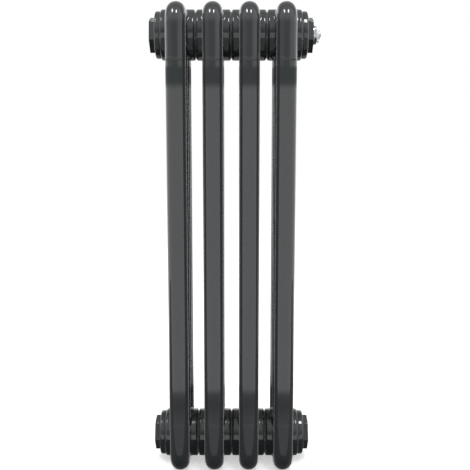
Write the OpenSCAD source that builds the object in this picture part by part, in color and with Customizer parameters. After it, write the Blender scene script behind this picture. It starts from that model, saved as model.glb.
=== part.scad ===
// Steel column radiator with a manual air vent.
// Sections stand side by side along X, their columns one behind another along Y, and Z is up.
// The origin is midway front to back on the floor plane, below the middle of the overall width.

/* [Radiator] */
// Height over the heads
height = 600; // [400:5:900]
// Distance from one section to the next, gasket included
section_pitch = 45; // [36:1:60]
// Distance from one column to the next in a section
column_pitch = 38; // [31:1:50]

/* [Tubes] */
// Outer diameter of a column tube
tube_d = 25; // [20:0.5:30]
// Wall of a column tube
tube_wall = 1.25; // [1:0.05:2]
// Wall of the pressed heads
head_wall = 1.6; // [1.2:0.1:2.5]
// Radius on the centre line of the bends at the front and rear of a head
bend_r = 17.5; // [16:0.5:26]
// Length of a stub above the middle of the hub
stub_t = 36; // [34:1:50]
// How much smaller in radius the inner stubs are than their tubes
stub_step = 0.4; // [0.2:0.1:1]

/* [Hubs] */
// Height of the lower hub centres above the foot, and depth of the upper ones below the top
hub_inset = 35; // [33:0.5:45]
// Outer diameter of a hub
hub_d = 63.5; // [60:0.5:66]
// Radius on the rim of a hub
hub_edge_r = 2.8; // [1:0.1:4]
// Depth of the threaded collar inside each end of a hub
collar_t = 9; // [6:0.5:10]
// Wall of the threaded collar
collar_wall = 3; // [2:0.25:5]
// Minor diameter of the large hub thread
hub_thread_d = 38.95; // [34:0.05:42]

/* [Joints between sections] */
// Thickness of every flat gasket
gasket_t = 1; // [0.6:0.1:2]
// Width of the ring of every flat gasket
gasket_w = 9; // [3:0.5:9]
// Wall of the threaded nipples
nipple_wall = 3.5; // [2.5:0.25:5]
// Width and height of the two key ribs inside a nipple
nipple_rib = 3; // [2:0.25:4]
// Radial gap that stands for a screwed thread
thread_gap = 0.05; // [0.02:0.01:0.1]

/* [Bushes and plug] */
// Outer diameter of the flange on a bush
flange_d = 59; // [54:0.5:62]
// Thickness of the flange on a bush
flange_t = 6; // [4:0.25:8]
// Radius on the outer rim of the flange
flange_edge_r = 2.4; // [1:0.1:3]
// Width of the bush hexagon across its flats
bush_hex_af = 40; // [33:0.5:48]
// Length of the bush hexagon
bush_hex_t = 7; // [5:0.25:10]
// How far the corners of each hexagon are turned off at its end face
hex_chamfer = 0.8; // [0.3:0.1:2]
// Length of the threaded shank of a bush
shank_t = 8.5; // [6:0.5:10]
// Wall of the shank
shank_wall = 3.5; // [2.5:0.25:5]
// Minor diameter of the pipe thread in a bush
port_d = 18.63; // [15.5:0.01:22.5]
// Depth of the pipe thread in a bush
port_t = 15; // [12:0.5:18]
// Chamfer at the mouth of the pipe thread
port_chamfer = 0.8; // [0.5:0.1:2]
// Turn of the upper bush hexagons about the hub axis, in degrees
upper_hex_turn = 19; // [0:1:59]
// Turn of the lower bush hexagons about the hub axis, in degrees
lower_hex_turn = 9; // [0:1:59]

/* [Vent body] */
// Diameter of the round flange of the vent
vent_flange_d = 25; // [24:0.5:34]
// Thickness of the round flange of the vent
vent_flange_t = 1.8; // [1.6:0.1:3]
// Width of the vent hexagon across its flats
vent_hex_af = 21; // [18:0.5:26]
// Thickness of the vent hexagon
vent_hex_t = 2.8; // [2:0.1:6]
// Length of the vent shank inside the bush
vent_shank_t = 9; // [7:0.5:12]
// Wall of the vent shank below the valve seat
vent_shank_wall = 3; // [2:0.25:4]
// Diameter of the bleed hole through the valve seat
seat_hole_d = 2; // [1:0.1:2.5]
// Thickness of the valve seat
seat_t = 1.5; // [1:0.25:2.5]
// Outer diameter of the nose that carries the outlet ring
nose_d = 9.6; // [9:0.1:12]
// Length of the nose past its clip
nose_end_t = 0.5; // [0.3:0.1:1]
// Diameter of the hole that leads from the screw bore out to the outlet ring
cross_hole_d = 1.4; // [1:0.1:1.8]
// Wire diameter of the O-ring under the vent flange
seal_wire_d = 1.5; // [1.2:0.1:1.8]
// How much that O-ring is squashed
seal_squash = 0.3; // [0.1:0.05:0.5]

/* [Bleed screw] */
// Diameter of the bleed screw
screw_d = 5; // [4:0.25:6]
// Length of the bleed screw without its key end
screw_t = 12; // [10:0.5:14]
// Lift of the bleed screw for each turn
screw_lead = 0.8; // [0.5:0.05:1]
// Number of turns from shut to fully open
screw_turns = 1; // [0.5:0.25:1.5]
// Side of the square key end
key_side = 3.2; // [2.5:0.1:3.8]
// Length of the square key end
key_t = 1.5; // [1.2:0.1:3]
// Depth of the neck and of the bleed flat in the screw
bleed_flat_t = 0.6; // [0.4:0.1:1]
// Wire diameter of the O-ring on the bleed screw
screw_seal_wire_d = 1; // [0.8:0.1:1.2]
// Diameter of the seal pad at the tip of the bleed screw
pad_d = 4.6; // [3.4:0.1:4.8]
// Thickness of the seal pad
pad_t = 1.2; // [0.8:0.1:2]
// Diameter of the pin that holds the seal pad in the screw
pad_pin_d = 2; // [1.5:0.1:2.4]
// Length of the pin that holds the seal pad in the screw
pad_pin_t = 1.8; // [1:0.1:2.5]

/* [Outlet ring] */
// Outer diameter of the swivelling outlet ring
outlet_d = 17; // [15:0.5:21]
// Length of the outlet ring along the vent
outlet_t = 3.4; // [3.4:0.1:6]
// Length of the straight part of the ring, before its cone
outlet_rim_t = 1.4; // [0.8:0.1:2]
// Outer diameter of the ring at the end of its cone
outlet_face_d = 12.6; // [12:0.1:14]
// Depth and width of the water groove inside the ring
outlet_groove = 1.2; // [0.6:0.1:1.6]
// Outer diameter of the spout
spout_d = 3.2; // [2.6:0.1:3.4]
// Bore of the spout
spout_bore_d = 1.8; // [1:0.1:2]
// Distance from the vent axis to the tip of the spout
spout_reach = 10.4; // [9.5:0.1:14]
// Turn of the spout towards the front from straight down, in degrees
spout_turn = 30; // [0:1:60]
// Radial running gap of everything that turns or slides in the vent
run_gap = 0.06; // [0.03:0.01:0.1]
// Free gap along the vent beside each piece that turns or slides
end_gap = 0.1; // [0.05:0.05:0.2]
// Thickness of the clip that retains the outlet ring
clip_t = 0.6; // [0.5:0.1:1]
// Outer diameter of the clip
clip_d = 11.6; // [11:0.1:13]
// Depth of the clip's groove in the nose
clip_groove = 0.5; // [0.3:0.1:0.7]
// Mouth of the open clip
clip_mouth = 5; // [3:0.5:6]

/* [Hidden] */
SECTIONS = 4;
COLUMNS = 4;
ROUND_FN = 96;
SMALL_FN = 48;
// How far a cutting solid runs past the face that it opens
past = 1;
// How far joined solids of one piece sink into each other
sink = 0.2;

tube_r = tube_d / 2;
tube_z = hub_inset + stub_t;
tube_t = height - 2 * tube_z;
duct_r = tube_r - head_wall;
inner_stub_r = tube_r - stub_step;
outer_y = (COLUMNS - 1) / 2 * column_pitch;
bend_y = outer_y - bend_r;
bend_z = tube_r + bend_r;

hub_r = hub_d / 2;
hub_t = section_pitch - gasket_t;
hub_thread_r = hub_thread_d / 2;
collar_r = hub_thread_r + collar_wall;
male_r = hub_thread_r - thread_gap;
nipple_half = collar_t + gasket_t / 2;
nipple_bore_r = male_r - nipple_wall;
gasket_bore_r = hub_thread_r + thread_gap;
gasket_r = gasket_bore_r + gasket_w;

end_x = (SECTIONS * section_pitch - gasket_t) / 2;
flange_x = end_x + gasket_t;
bush_x = flange_x + flange_t + bush_hex_t;
flange_r = flange_d / 2;
shank_x = end_x - shank_t;
shank_bore_r = male_r - shank_wall;
port_r = port_d / 2;
vent_male_r = port_r - thread_gap;

// Places along the vent are measured outwards from the outer face of its bush
vent_face = vent_flange_t + vent_hex_t;
outlet_0 = vent_face + end_gap;
outlet_mid = outlet_0 + outlet_t / 2;
clip_0 = outlet_0 + outlet_t + end_gap;
nose_r = nose_d / 2;
seal_r = port_r + port_chamfer + seal_wire_d / 2;
seal_t = seal_wire_d - seal_squash;
screw_r = screw_d / 2;
screw_lift = screw_lead * screw_turns;
screw_seal_mid = outlet_mid + (cross_hole_d + screw_seal_wire_d) / 2 + 3 * end_gap;
screw_seal_r = screw_r - screw_seal_wire_d / 2;
nose_end = max(clip_0 + clip_t + nose_end_t, screw_seal_mid + screw_seal_wire_d / 2 + screw_lift);
screw_end = nose_end;
screw_0 = screw_end - screw_t;
pad_1 = screw_0 - end_gap;
pad_0 = pad_1 - pad_t;
seat_face = pad_0 - end_gap;
outlet_bore_r = nose_r + run_gap;
vent_x = bush_x + screw_end + key_t;

// Half of what the vent adds to the overall width, which brings the origin to the middle of it
mid_x = (bush_x - vent_x) / 2;

STEEL = "#4b4f53";
CHROME = "#c8cbce";
WHITE = "#e6e9ec";
RUBBER = "#1d1d1f";
BRASS = "#b8a068";

function section_x(s) = (s - (SECTIONS + 1) / 2) * section_pitch;
function column_y(c) = (c - (COLUMNS + 1) / 2) * column_pitch;
function joint_x(j) = (j - SECTIONS / 2) * section_pitch;
function level(top) = top ? "top" : "bottom";
function head_name(top, s) = str("section_", s, "_", level(top), "_head");
function tube_name(s, c) = str("section_", s, "_tube_", c);
function nipple_name(top, j) = str(level(top), "_nipple_", j);
function gasket_name(top, j) = str(level(top), "_gasket_", j);
function end_name(top, right) = str(level(top), right ? "_right" : "_left");

LEVELS = [true, false];

// Carries its children to the centre line of the upper or lower hubs
module at_hubs(top) {
    translate([mid_x, 0, top ? height - hub_inset : hub_inset])
        children();
}

// Carries its children to the outer face of the vent's bush
module at_vent() {
    at_hubs(true)
        translate([bush_x, 0, 0])
            children();
}

// A cylinder along X from x_0 to x_1
module x_rod(r, x_0, x_1, fn = ROUND_FN) {
    translate([x_0, 0, 0])
        rotate([0, 90, 0])
            cylinder(r = r, h = x_1 - x_0, $fn = fn);
}

// Turns a profile about X, with its own Y along X and its own X outwards
module x_turned(fn = ROUND_FN) {
    rotate([0, 90, 0])
        rotate_extrude($fn = fn)
            children();
}

// A rectangle from the axis out to r, with its far outer corner rounded
module rounded_end(r, t, edge_r) {
    square([r - edge_r, t]);
    square([r, t - edge_r]);
    translate([r - edge_r, t - edge_r])
        circle(r = edge_r, $fn = SMALL_FN);
}

// A hexagon along X whose outer corners are turned off, with one corner at an angle below the front
module hexagon(af, t, turn) {
    corner_r = af / 2 / cos(30);
    face_r = corner_r - hex_chamfer;
    rotate([turn, 0, 0])
        intersection() {
            rotate([90, 0, 90])
                cylinder(r = corner_r, h = t, $fn = 6);
            x_turned()
                polygon([
                    [0, -past],
                    [corner_r + past, -past],
                    [corner_r + past, t - (corner_r + past - face_r) * tan(30)],
                    [face_r, t],
                    [0, t]
                ]);
        }
}

// The ducts of a lower head: a level bar, a bend up to each outer stub, and the inner stubs
module ducts(r, inner_r, top_z) {
    translate([0, bend_y, tube_r])
        rotate([90, 0, 0])
            cylinder(r = r, h = 2 * bend_y, $fn = ROUND_FN);
    for (turn = [0, 180])
        rotate([0, 0, turn])
            translate([0, bend_y, bend_z])
                rotate([0, 90, 0])
                    rotate_extrude(angle = 90, $fn = ROUND_FN)
                        translate([bend_r, 0])
                            circle(r = r, $fn = SMALL_FN);
    for (y = [-outer_y, outer_y])
        translate([0, y, bend_z])
            cylinder(r = r, h = top_z - bend_z, $fn = ROUND_FN);
    for (c = [2 : COLUMNS - 1])
        translate([0, column_y(c), tube_r])
            cylinder(r = inner_r, h = top_z - tube_r, $fn = ROUND_FN);
}

// The drum of a hub, rounded at both rims
module hub_drum() {
    for (turn = [0, 180])
        rotate([0, 0, turn])
            x_turned()
                rounded_end(hub_r, hub_t / 2, hub_edge_r);
}

// The water space of a hub: a chamber around the two threaded collars, and their bores
module hub_space() {
    difference() {
        x_rod(hub_r - head_wall, head_wall - hub_t / 2, hub_t / 2 - head_wall);
        x_rod(collar_r, -hub_t / 2, collar_t - hub_t / 2);
        x_rod(collar_r, hub_t / 2 - collar_t, hub_t / 2);
    }
    x_rod(hub_thread_r, -hub_t / 2 - past, hub_t / 2 + past);
}

// A lower head
module head() {
    difference() {
        union() {
            ducts(tube_r, inner_stub_r, tube_z);
            translate([0, 0, hub_inset])
                hub_drum();
        }
        ducts(duct_r, inner_stub_r - head_wall, tube_z + past);
        translate([0, 0, hub_inset])
            hub_space();
    }
}

module placed_head(top, s) {
    color(STEEL)
        translate([mid_x + section_x(s), 0, top ? height : 0])
            rotate([top ? 180 : 0, 0, 0])
                head();
}

// A column tube, butt-welded between the stubs of two heads
module tube(s, c) {
    color(STEEL)
        translate([mid_x + section_x(s), column_y(c), tube_z])
            difference() {
                cylinder(r = tube_r, h = tube_t, $fn = ROUND_FN);
                translate([0, 0, -past])
                    cylinder(r = tube_r - tube_wall, h = tube_t + 2 * past, $fn = ROUND_FN);
            }
}

// A nipple with opposite threads at its ends, which draws two sections together
module nipple(top, j) {
    color(STEEL)
        at_hubs(top)
            translate([joint_x(j), 0, 0]) {
                difference() {
                    x_rod(male_r, -nipple_half, nipple_half);
                    x_rod(nipple_bore_r, -nipple_half - past, nipple_half + past);
                }
                for (turn = [0, 180])
                    rotate([turn, 0, 0])
                        translate([-nipple_half, -nipple_rib / 2, nipple_bore_r - nipple_rib])
                            cube([2 * nipple_half, nipple_rib, nipple_rib + nipple_wall / 2]);
            }
}

// A flat gasket ring with its middle at x
module gasket(top, x) {
    color(RUBBER)
        at_hubs(top)
            difference() {
                x_rod(gasket_r, x - gasket_t / 2, x + gasket_t / 2);
                x_rod(gasket_bore_r, x - gasket_t, x + gasket_t);
            }
}

// A bush with no bore, at the right-hand end of the hubs
module bush_blank(hex_turn) {
    x_rod(male_r, shank_x, flange_x + sink);
    translate([flange_x, 0, 0])
        x_turned()
            rounded_end(flange_r, flange_t, flange_edge_r);
    translate([flange_x + flange_t - sink, 0, 0])
        hexagon(bush_hex_af, bush_hex_t + sink, hex_turn);
}

// A reducing bush, whose pipe thread is the port of the radiator
module bush(top, right, hex_turn) {
    color(STEEL)
        at_hubs(top)
            rotate([0, 0, right ? 0 : 180])
                difference() {
                    bush_blank(right ? hex_turn : -hex_turn);
                    x_rod(port_r, bush_x - port_t - past, bush_x + past);
                    x_rod(shank_bore_r, shank_x - past, bush_x - port_t);
                    translate([bush_x - port_chamfer, 0, 0])
                        x_turned()
                            polygon([[0, 0], [port_r, 0], [port_r + 2 * port_chamfer, 2 * port_chamfer],
                                     [0, 2 * port_chamfer]]);
                }
}

// The plug that blanks the left end of the upper hubs
module plug(hex_turn) {
    color(STEEL)
        at_hubs(true)
            rotate([0, 0, 180])
                difference() {
                    bush_blank(-hex_turn);
                    x_rod(shank_bore_r, shank_x - past, flange_x + flange_t / 2);
                }
}

// The vent's body: shank, flange with its seal groove, hexagon, and nose with its clip groove
module vent_body() {
    color(CHROME)
        at_vent()
            difference() {
                union() {
                    x_rod(vent_male_r, -vent_shank_t, sink);
                    x_rod(vent_flange_d / 2, 0, vent_flange_t);
                    translate([vent_flange_t - sink, 0, 0])
                        hexagon(vent_hex_af, vent_hex_t + sink, upper_hex_turn);
                    x_rod(nose_r, vent_face - sink, nose_end, SMALL_FN);
                }
                difference() {
                    x_rod(seal_r + seal_wire_d / 2, -past, seal_t, SMALL_FN);
                    x_rod(seal_r - seal_wire_d / 2, -2 * past, 2 * past, SMALL_FN);
                }
                difference() {
                    x_rod(nose_r + past, clip_0, clip_0 + clip_t, SMALL_FN);
                    x_rod(nose_r - clip_groove, clip_0 - past, clip_0 + clip_t + past, SMALL_FN);
                }
                x_rod(screw_r + run_gap, seat_face, nose_end + past, SMALL_FN);
                x_rod(seat_hole_d / 2, seat_face - seat_t - past, seat_face + past, SMALL_FN);
                x_rod(vent_male_r - vent_shank_wall, -vent_shank_t - past, seat_face - seat_t, SMALL_FN);
                translate([outlet_mid, 0, 0])
                    cylinder(r = cross_hole_d / 2, h = nose_r + past, $fn = SMALL_FN);
            }
}

// The O-ring in the groove of the vent's flange, squashed flat against the bush
module vent_o_ring() {
    color(RUBBER)
        at_vent()
            x_turned()
                intersection() {
                    translate([seal_r, seal_t / 2])
                        circle(r = seal_wire_d / 2, $fn = SMALL_FN);
                    translate([seal_r - seal_wire_d, 0])
                        square([2 * seal_wire_d, seal_t]);
                }
}

// The outlet ring, with a water groove inside and one spout
module outlet_ring() {
    color(WHITE)
        at_vent()
            difference() {
                union() {
                    translate([outlet_0, 0, 0])
                        x_turned()
                            polygon([[0, 0], [outlet_d / 2, 0], [outlet_d / 2, outlet_rim_t],
                                     [outlet_face_d / 2, outlet_t], [0, outlet_t]]);
                    spout_rod(spout_d / 2, spout_reach);
                }
                x_rod(outlet_bore_r, outlet_0 - past, outlet_0 + outlet_t + past, SMALL_FN);
                x_rod(outlet_bore_r + outlet_groove, outlet_mid - outlet_groove / 2,
                      outlet_mid + outlet_groove / 2, SMALL_FN);
                spout_rod(spout_bore_d / 2, spout_reach + past);
            }
}

// A rod outwards from the vent's axis along the spout
module spout_rod(r, reach) {
    translate([outlet_mid, 0, 0])
        rotate([180 - spout_turn, 0, 0])
            cylinder(r = r, h = reach, $fn = SMALL_FN);
}

// The open clip that keeps the outlet ring on the nose
module retaining_clip() {
    color(CHROME)
        at_vent()
            difference() {
                x_rod(clip_d / 2, clip_0, clip_0 + clip_t, SMALL_FN);
                x_rod(nose_r - clip_groove, clip_0 - past, clip_0 + clip_t + past, SMALL_FN);
                translate([clip_0 - past, -clip_mouth / 2, 0])
                    cube([clip_t + 2 * past, clip_mouth, clip_d]);
            }
}

// A ring cut around the screw, down to radius r
module screw_groove(r, x_0, x_1) {
    difference() {
        x_rod(screw_r + past, x_0, x_1, SMALL_FN);
        x_rod(r, x_0 - past, x_1 + past, SMALL_FN);
    }
}

// The bleed screw: square key end, O-ring groove, neck, bleed flat and a socket for the pad
module bleed_screw() {
    seal_groove_t = screw_seal_wire_d + end_gap;
    neck_0 = outlet_mid - cross_hole_d / 2 - screw_lift;
    neck_1 = outlet_mid + cross_hole_d / 2;
    color(BRASS)
        at_vent()
            difference() {
                union() {
                    x_rod(screw_r, screw_0, screw_end, SMALL_FN);
                    translate([screw_end - sink, -key_side / 2, -key_side / 2])
                        cube([key_t + sink, key_side, key_side]);
                }
                screw_groove(screw_r - screw_seal_wire_d, screw_seal_mid - seal_groove_t / 2,
                             screw_seal_mid + seal_groove_t / 2);
                screw_groove(screw_r - bleed_flat_t, neck_0, neck_1);
                translate([screw_0 - past, -screw_r, screw_r - bleed_flat_t])
                    cube([(neck_0 + neck_1) / 2 - screw_0 + past, screw_d, screw_d]);
                x_rod(pad_pin_d / 2 + run_gap, screw_0 - past, screw_0 + pad_pin_t + end_gap, SMALL_FN);
            }
}

// The O-ring that seals the bleed screw in the nose
module bleed_screw_o_ring() {
    color(RUBBER)
        at_vent()
            translate([screw_seal_mid, 0, 0])
                x_turned()
                    translate([screw_seal_r, 0])
                        circle(r = screw_seal_wire_d / 2, $fn = SMALL_FN);
}

// The pad at the tip of the bleed screw, which shuts the seat and doesn't turn with the screw
module bleed_seal_pad() {
    color(RUBBER)
        at_vent() {
            x_rod(pad_d / 2, pad_0, pad_1, SMALL_FN);
            x_rod(pad_pin_d / 2, pad_1 - sink, screw_0 + pad_pin_t, SMALL_FN);
        }
}

for (top = LEVELS)
    for (s = [1 : SECTIONS])
        placed_head(top, s);
for (s = [1 : SECTIONS])
    for (c = [1 : COLUMNS])
        tube(s, c);
for (top = LEVELS)
    for (j = [1 : SECTIONS - 1])
        nipple(top, j);
for (top = LEVELS)
    for (j = [1 : SECTIONS - 1])
        gasket(top, joint_x(j));
for (top = LEVELS)
    for (right = [false, true])
        gasket(top, (right ? 1 : -1) * (end_x + gasket_t / 2));
plug(upper_hex_turn);  // blanking_plug
bush(true, true, upper_hex_turn);  // vent_bush
bush(false, false, lower_hex_turn);  // left_port_bush
bush(false, true, lower_hex_turn);  // right_port_bush
vent_body();
vent_o_ring();
outlet_ring();  // vent_outlet_ring
retaining_clip();  // vent_retaining_clip
bleed_screw();
bleed_screw_o_ring();
bleed_seal_pad();
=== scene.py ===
"""Looks of a steel column radiator with a manual air vent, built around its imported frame.

Lengths are metres. The radiator stands on z = 0 with its front towards -Y, and its sections stand along X.
"""

import itertools
import logging
import math
from collections.abc import Callable, Sequence
from dataclasses import dataclass, field, replace
from enum import Enum

import bpy
import numpy as np
from mathutils import Matrix, Vector


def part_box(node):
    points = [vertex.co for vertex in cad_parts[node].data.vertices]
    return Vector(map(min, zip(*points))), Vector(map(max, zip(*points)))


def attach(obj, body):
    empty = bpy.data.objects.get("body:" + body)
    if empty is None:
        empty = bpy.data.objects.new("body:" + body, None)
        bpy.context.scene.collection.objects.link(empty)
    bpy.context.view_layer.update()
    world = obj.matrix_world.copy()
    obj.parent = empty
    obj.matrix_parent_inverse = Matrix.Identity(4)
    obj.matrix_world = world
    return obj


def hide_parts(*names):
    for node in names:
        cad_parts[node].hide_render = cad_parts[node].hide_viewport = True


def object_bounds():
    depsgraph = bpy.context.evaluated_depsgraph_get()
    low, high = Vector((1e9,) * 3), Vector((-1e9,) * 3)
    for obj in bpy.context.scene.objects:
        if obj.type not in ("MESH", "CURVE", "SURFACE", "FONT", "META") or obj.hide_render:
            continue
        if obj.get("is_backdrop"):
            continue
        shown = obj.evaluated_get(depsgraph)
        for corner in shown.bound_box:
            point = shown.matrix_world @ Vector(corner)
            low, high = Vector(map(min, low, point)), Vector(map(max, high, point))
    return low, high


Socket = bpy.types.NodeSocket
Colour = tuple[float, float, float, float]
Pair = tuple[float, float]
Triple = tuple[float, float, float]
Surface = tuple[np.ndarray, Sequence[Sequence[int]]]
Field = Callable[[np.ndarray], np.ndarray]

LOG = logging.getLogger("radiator")
MM = 0.001
SMOOTH_BELOW = math.radians(38)
WHITE: Colour = (1, 1, 1, 1)

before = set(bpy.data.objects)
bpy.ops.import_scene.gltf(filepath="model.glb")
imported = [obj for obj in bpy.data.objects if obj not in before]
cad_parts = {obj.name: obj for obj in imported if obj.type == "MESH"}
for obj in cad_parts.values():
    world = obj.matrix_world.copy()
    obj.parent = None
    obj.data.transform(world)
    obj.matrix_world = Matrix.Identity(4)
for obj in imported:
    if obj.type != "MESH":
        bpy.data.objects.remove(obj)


# ---------------------------------------------------------------- shader helpers


class Nodes:
    """Adds and links nodes in one node tree."""

    def __init__(self, tree: bpy.types.NodeTree) -> None:
        """Starts work on a tree.

        Args:
            tree: The node tree to fill.
        """
        self.tree = tree

    def add(self, kind: str, **settings: object) -> bpy.types.Node:
        """Adds one node.

        Args:
            kind: The node's type name, without its ShaderNode prefix.
            settings: Properties to set on the node.

        Returns:
            The new node.
        """
        node = self.tree.nodes.new(kind if kind.startswith("Node") else f"ShaderNode{kind}")
        for name, value in settings.items():
            setattr(node, name, value)
        return node

    def put(self, socket: Socket, value: object) -> None:
        """Links a socket to another one, or sets its value.

        Args:
            socket: The input to feed.
            value: An output socket, a number, a vector or a colour.
        """
        if isinstance(value, Socket):
            self.tree.links.new(value, socket)
        else:
            socket.default_value = value

    def math(self, operation: str, *values: object, clamp: bool = False) -> Socket:
        """Adds a Math node.

        Args:
            operation: The operation's name.
            values: Its inputs, as numbers or sockets.
            clamp: Whether the result is kept between 0 and 1.

        Returns:
            The result's socket.
        """
        node = self.add("Math", operation=operation, use_clamp=clamp)
        for socket, value in zip(node.inputs, values):
            self.put(socket, value)
        return node.outputs[0]

    def spread(self, value: object, span: Pair, to_low: object = 0.0, to_high: object = 1.0) -> Socket:
        """Maps a value smoothly from one range to another.

        Args:
            value: The value to map.
            span: Where its range starts and ends.
            to_low: The result at the start.
            to_high: The result at the end.

        Returns:
            The result's socket.
        """
        node = self.add("MapRange", interpolation_type="SMOOTHSTEP")
        for socket, given in zip(node.inputs, (value, *span, to_low, to_high)):
            self.put(socket, given)
        return node.outputs[0]

    def mix(self, share: object, a: object, b: object) -> Socket:
        """Mixes two colours.

        Args:
            share: How much of the second colour shows.
            a: The first colour.
            b: The second colour.

        Returns:
            The mixed colour's socket.
        """
        node = self.add("Mix", data_type="RGBA")
        for name, given in (("Factor_Float", share), ("A_Color", a), ("B_Color", b)):
            self.put(next(s for s in node.inputs if s.identifier == name), given)
        return next(s for s in node.outputs if s.identifier == "Result_Color")

    def noise(self, scale: object, detail: float, stretch: Triple = (1, 1, 1)) -> Socket:
        """Adds a noise over the object's own coordinates.

        Args:
            scale: How many grains there are in a metre.
            detail: How many finer layers lie over the grains.
            stretch: How the coordinates are scaled along X, Y and Z.

        Returns:
            The noise value's socket.
        """
        where = self.add("TexCoord").outputs["Object"]
        place = self.add("Mapping")
        self.put(place.inputs["Vector"], where)
        self.put(place.inputs["Scale"], stretch)
        node = self.add("TexNoise")
        self.put(node.inputs["Vector"], place.outputs[0])
        self.put(node.inputs["Scale"], scale)
        self.put(node.inputs["Detail"], detail)
        return node.outputs["Fac"]


@dataclass(frozen=True)
class Effect:
    """A shader node group that several finishes share.

    Attributes:
        title: The group's name.
        inputs: Its inputs, each a name and a default.
        output: The name of its output, a plain value.
        fill: A function that takes the nodes and the group's inputs, and returns the output.
    """

    title: str
    inputs: tuple[tuple[str, float], ...]
    output: str
    fill: Callable[[Nodes, Sequence[Socket]], Socket]

    def group(self) -> bpy.types.NodeTree:
        """Makes the node group once.

        Returns:
            The group, with its sockets and nodes.
        """
        found = bpy.data.node_groups.get(self.title)
        if found:
            return found
        tree = bpy.data.node_groups.new(self.title, "ShaderNodeTree")
        for name, value in self.inputs:
            socket = tree.interface.new_socket(name, in_out="INPUT", socket_type="NodeSocketFloat")
            socket.default_value = value
        tree.interface.new_socket(self.output, in_out="OUTPUT", socket_type="NodeSocketFloat")
        nodes = Nodes(tree)
        given = nodes.add("NodeGroupInput")
        nodes.put(nodes.add("NodeGroupOutput").inputs[0], self.fill(nodes, given.outputs))
        return tree

    def place(self, nodes: Nodes, **values: float) -> Socket:
        """Places the group in a material.

        Args:
            nodes: The material's nodes.
            values: The inputs that differ from their defaults.

        Returns:
            The group's output.
        """
        node = nodes.add("Group")
        node.node_tree = self.group()
        for name, value in values.items():
            nodes.put(node.inputs[name.replace("_", " ").capitalize()], value)
        return node.outputs[0]


# How far up a face must look, from 0 to 1, for dust to start to lie on it and to lie thickest.
LEVEL_SPAN: Pair = (0.55, 1.0)
# The parts of a noise's range that turn into patches of dust and into turning marks.
PATCH_SPAN: Pair = (0.35, 0.75)
MARK_SPAN: Pair = (0.4, 0.7)
THINNEST_DUST = 0.15
# Draws a noise out into lines around the X axis.
ROUND_X: Triple = (1.0, 0.03, 0.03)


def fill_peel(nodes: Nodes, given: Sequence[Socket]) -> Socket:
    """Lays fine ripples over slow waves, as baked paint has.

    Args:
        nodes: The group's nodes.
        given: The group's inputs.

    Returns:
        The height's socket.
    """
    ripple = nodes.noise(given["Ripples"], detail=1.5)
    wave = nodes.noise(given["Waves"], detail=0.5)
    return nodes.math("MULTIPLY_ADD", wave, given["Wave share"], ripple)


def fill_dust(nodes: Nodes, given: Sequence[Socket]) -> Socket:
    """Masks the faces that look up, where dust settles in patches.

    Args:
        nodes: The group's nodes.
        given: The group's inputs.

    Returns:
        The mask's socket.
    """
    normal = nodes.add("NewGeometry").outputs["Normal"]
    split = nodes.add("SeparateXYZ")
    nodes.put(split.inputs[0], normal)
    level = nodes.spread(split.outputs["Z"], LEVEL_SPAN)
    patches = nodes.spread(nodes.noise(given["Patches"], detail=6.0), PATCH_SPAN, to_low=THINNEST_DUST)
    return nodes.math("MULTIPLY", nodes.math("MULTIPLY", level, patches), given["Amount"], clamp=True)


def fill_grain(nodes: Nodes, given: Sequence[Socket]) -> Socket:
    """Mixes a coarse and a fine noise into one even grain.

    Args:
        nodes: The group's nodes.
        given: The group's inputs.

    Returns:
        The grain's socket, near 0.5 in the middle.
    """
    coarse = nodes.noise(given["Coarse"], detail=2.0)
    fine = nodes.noise(given["Fine"], detail=5.0)
    return nodes.math("MULTIPLY", nodes.math("ADD", coarse, fine), 0.5)


def fill_strokes(nodes: Nodes, given: Sequence[Socket]) -> Socket:
    """Masks fine turning marks that run around the X axis.

    Args:
        nodes: The group's nodes.
        given: The group's inputs.

    Returns:
        The mask's socket.
    """
    marks = nodes.noise(given["Marks"], detail=4.0, stretch=ROUND_X)
    return nodes.spread(marks, MARK_SPAN)


PEEL_INPUTS = (("Ripples", 900.0), ("Waves", 110.0), ("Wave share", 1.6))
PEEL = Effect("baked_paint_peel", PEEL_INPUTS, "Height", fill_peel)
DUST = Effect("settled_dust", (("Patches", 60.0), ("Amount", 0.3)), "Mask", fill_dust)
GRAIN = Effect("even_grain", (("Coarse", 40.0), ("Fine", 900.0)), "Grain", fill_grain)
STROKES = Effect("turning_marks", (("Marks", 2500.0),), "Mask", fill_strokes)


# ---------------------------------------------------------------- finishes


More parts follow.
